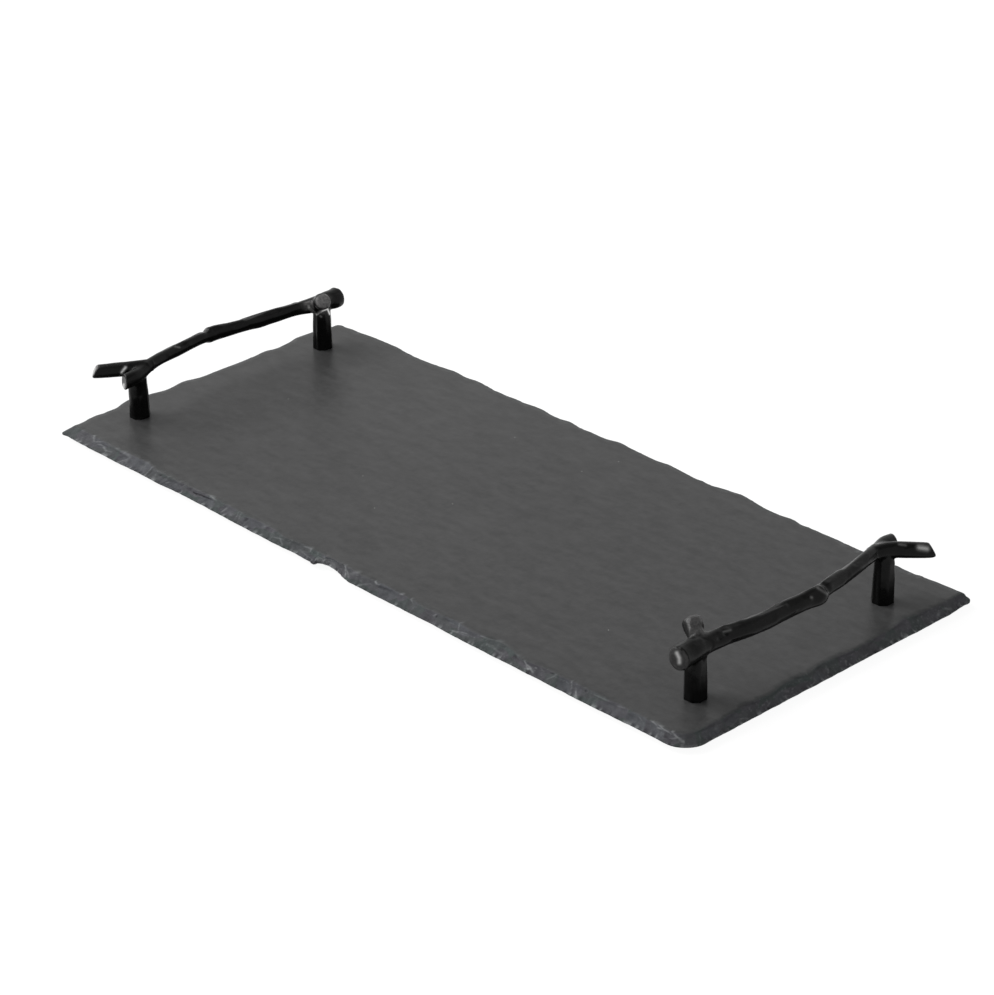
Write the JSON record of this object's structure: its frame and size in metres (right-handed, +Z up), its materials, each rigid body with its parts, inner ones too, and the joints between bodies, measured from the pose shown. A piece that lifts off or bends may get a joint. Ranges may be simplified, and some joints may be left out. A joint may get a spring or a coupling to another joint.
{
  "type": "slate serving board",
  "caption": "Rectangular slate serving board with hand-dressed edges, cast black twig-shaped bar handles across both ends, and rubber foot pads underneath.",
  "frame": {"origin": "middle of the board's length and width, on the surface that its feet stand on", "axes": "+X along the board's length, from the left handle to the right handle; +Y across it, away from the near long edge; +Z up through the serving face"},
  "size_m": [0.46, 0.2, 0.044],
  "materials": {
    "slate": "riven natural slate, matt to faintly satin, with a chipped edge",
    "handle": "black satin coating on cast metal, with bright highlights",
    "screw": "plain zinc-plated steel",
    "washer": "matt black fibre",
    "foot": "matt black rubber"
  },
  "bodies": {
    "root": {"slate_board": "slate", "handle_left": "handle", "handle_right": "handle", "screw_left_near": "screw", "screw_left_far": "screw", "screw_right_near": "screw", "screw_right_far": "screw", "washer_left_near": "washer", "washer_left_far": "washer", "washer_right_near": "washer", "washer_right_far": "washer", "foot_left_near": "foot", "foot_left_far": "foot", "foot_right_near": "foot", "foot_right_far": "foot"}
  },
  "joints": []
}
